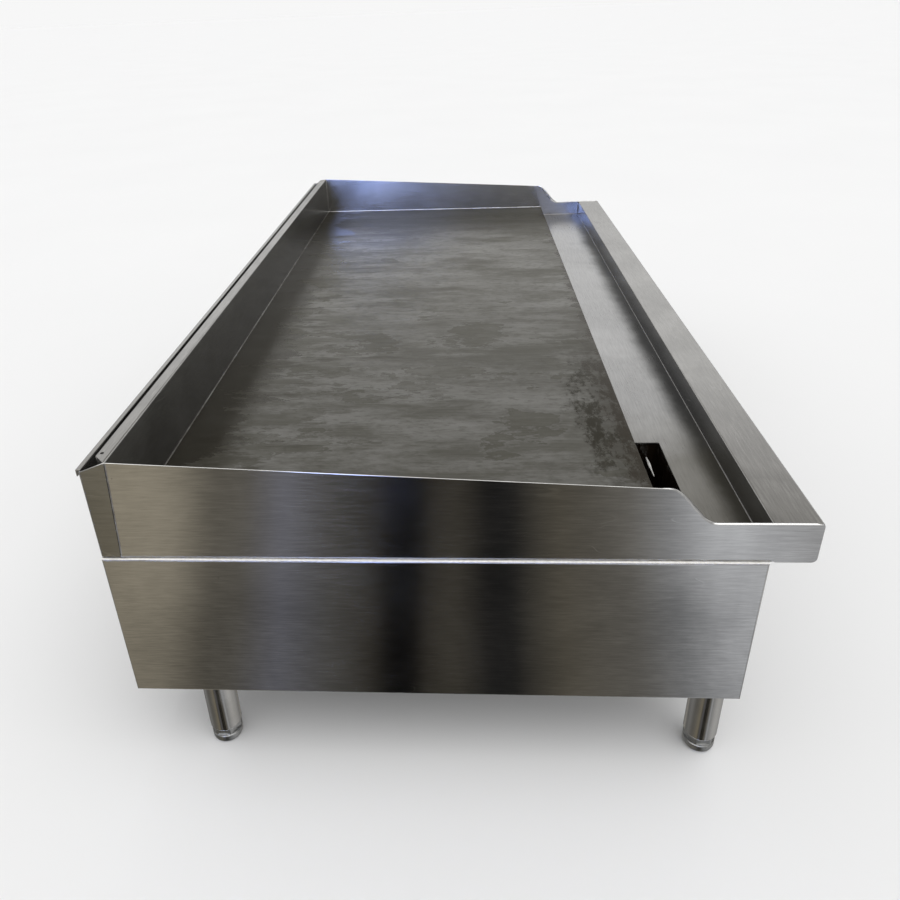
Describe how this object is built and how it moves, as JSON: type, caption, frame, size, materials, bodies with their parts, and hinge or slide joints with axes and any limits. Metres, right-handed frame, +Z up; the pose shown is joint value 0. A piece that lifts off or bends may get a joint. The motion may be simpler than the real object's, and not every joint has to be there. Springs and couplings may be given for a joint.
{
  "type": "flat top griddle",
  "caption": "Gas countertop griddle: thick flat steel plate in a stainless body with splash guards, front grease gutter, drain and drawer, control knobs and adjustable legs.",
  "frame": {"origin": "centre of the object's bounding box in plan, on the surface that its feet stand on", "axes": "+Z up, +Y towards the back, +X to the right end seen from the front"},
  "size_m": [1.524, 0.819, 0.45],
  "materials": {
    "stainless": "brushed stainless sheet, grain along its length",
    "seasoned_plate": "ground steel plate, dark and blotchy with burnt-on oil",
    "galvanised": "galvanised or aluminised steel, satin",
    "black_iron": "black iron gas pipe",
    "brass": "machined brass",
    "black_plastic": "moulded phenolic"
  },
  "bodies": {
    "body": {"left_side_panel": "stainless", "right_side_panel": "stainless", "rear_panel": "stainless", "bottom_panel": "galvanised", "control_panel": "stainless", "left_side_splash": "stainless", "right_side_splash": "stainless", "rear_splash": "stainless", "griddle_plate": "seasoned_plate", "grease_trough": "stainless", "front_rail": "stainless", "grease_chute": "stainless", "left_drawer_runner": "galvanised", "right_drawer_runner": "galvanised", "left_plate_support": "galvanised", "right_plate_support": "galvanised", "front_plate_support": "galvanised", "rear_plate_support": "galvanised", "front_heat_shield": "galvanised", "front_burner_rest": "galvanised", "rear_burner_rest": "galvanised", "gas_manifold": "black_iron", "burner_1": "galvanised", "burner_2": "galvanised", "burner_3": "galvanised", "burner_4": "galvanised", "burner_5": "galvanised", "gas_valve_1": "brass", "gas_valve_2": "brass", "gas_valve_3": "brass", "gas_valve_4": "brass", "gas_valve_5": "brass", "pilot_gas_line": "brass", "pilot_burner_1": "galvanised", "pilot_burner_2": "galvanised", "pilot_burner_3": "galvanised", "pilot_burner_4": "galvanised", "pilot_burner_5": "galvanised", "front_left_leg": "stainless", "front_right_leg": "stainless", "rear_left_leg": "stainless", "rear_right_leg": "stainless"},
    "grease_drawer": {"grease_drawer_pan": "stainless", "grease_drawer_front": "stainless", "grease_drawer_handle": "stainless"},
    "knob_1": {"control_knob_1": "black_plastic", "valve_stem_1": "brass"},
    "knob_2": {"control_knob_2": "black_plastic", "valve_stem_2": "brass"},
    "knob_3": {"control_knob_3": "black_plastic", "valve_stem_3": "brass"},
    "knob_4": {"control_knob_4": "black_plastic", "valve_stem_4": "brass"},
    "knob_5": {"control_knob_5": "black_plastic", "valve_stem_5": "brass"},
    "front_left_foot": {"front_left_foot": "galvanised"},
    "front_right_foot": {"front_right_foot": "galvanised"},
    "rear_left_foot": {"rear_left_foot": "galvanised"},
    "rear_right_foot": {"rear_right_foot": "galvanised"}
  },
  "joints": [
    {"name": "grease_drawer_slide", "type": "slide", "parent": "body", "child": "grease_drawer", "axis": [0, -1, 0], "range_m": [0, 0.3]},
    {"name": "knob_1_turn", "type": "hinge", "parent": "body", "child": "knob_1", "pos_m": [-0.499, -0.3595, 0.248], "axis": [0, -1, 0], "range_deg": [0, 180]},
    {"name": "knob_2_turn", "type": "hinge", "parent": "body", "child": "knob_2", "pos_m": [-0.208, -0.3595, 0.248], "axis": [0, -1, 0], "range_deg": [0, 180]},
    {"name": "knob_3_turn", "type": "hinge", "parent": "body", "child": "knob_3", "pos_m": [0.083, -0.3595, 0.248], "axis": [0, -1, 0], "range_deg": [0, 180]},
    {"name": "knob_4_turn", "type": "hinge", "parent": "body", "child": "knob_4", "pos_m": [0.374, -0.3595, 0.248], "axis": [0, -1, 0], "range_deg": [0, 180]},
    {"name": "knob_5_turn", "type": "hinge", "parent": "body", "child": "knob_5", "pos_m": [0.665, -0.3595, 0.248], "axis": [0, -1, 0], "range_deg": [0, 180]},
    {"name": "front_left_foot_extend", "type": "slide", "parent": "body", "child": "front_left_foot", "axis": [0, 0, -1], "range_m": [0, 0.02]},
    {"name": "front_right_foot_extend", "type": "slide", "parent": "body", "child": "front_right_foot", "axis": [0, 0, -1], "range_m": [0, 0.02]},
    {"name": "rear_left_foot_extend", "type": "slide", "parent": "body", "child": "rear_left_foot", "axis": [0, 0, -1], "range_m": [0, 0.02]},
    {"name": "rear_right_foot_extend", "type": "slide", "parent": "body", "child": "rear_right_foot", "axis": [0, 0, -1], "range_m": [0, 0.02]}
  ]
}
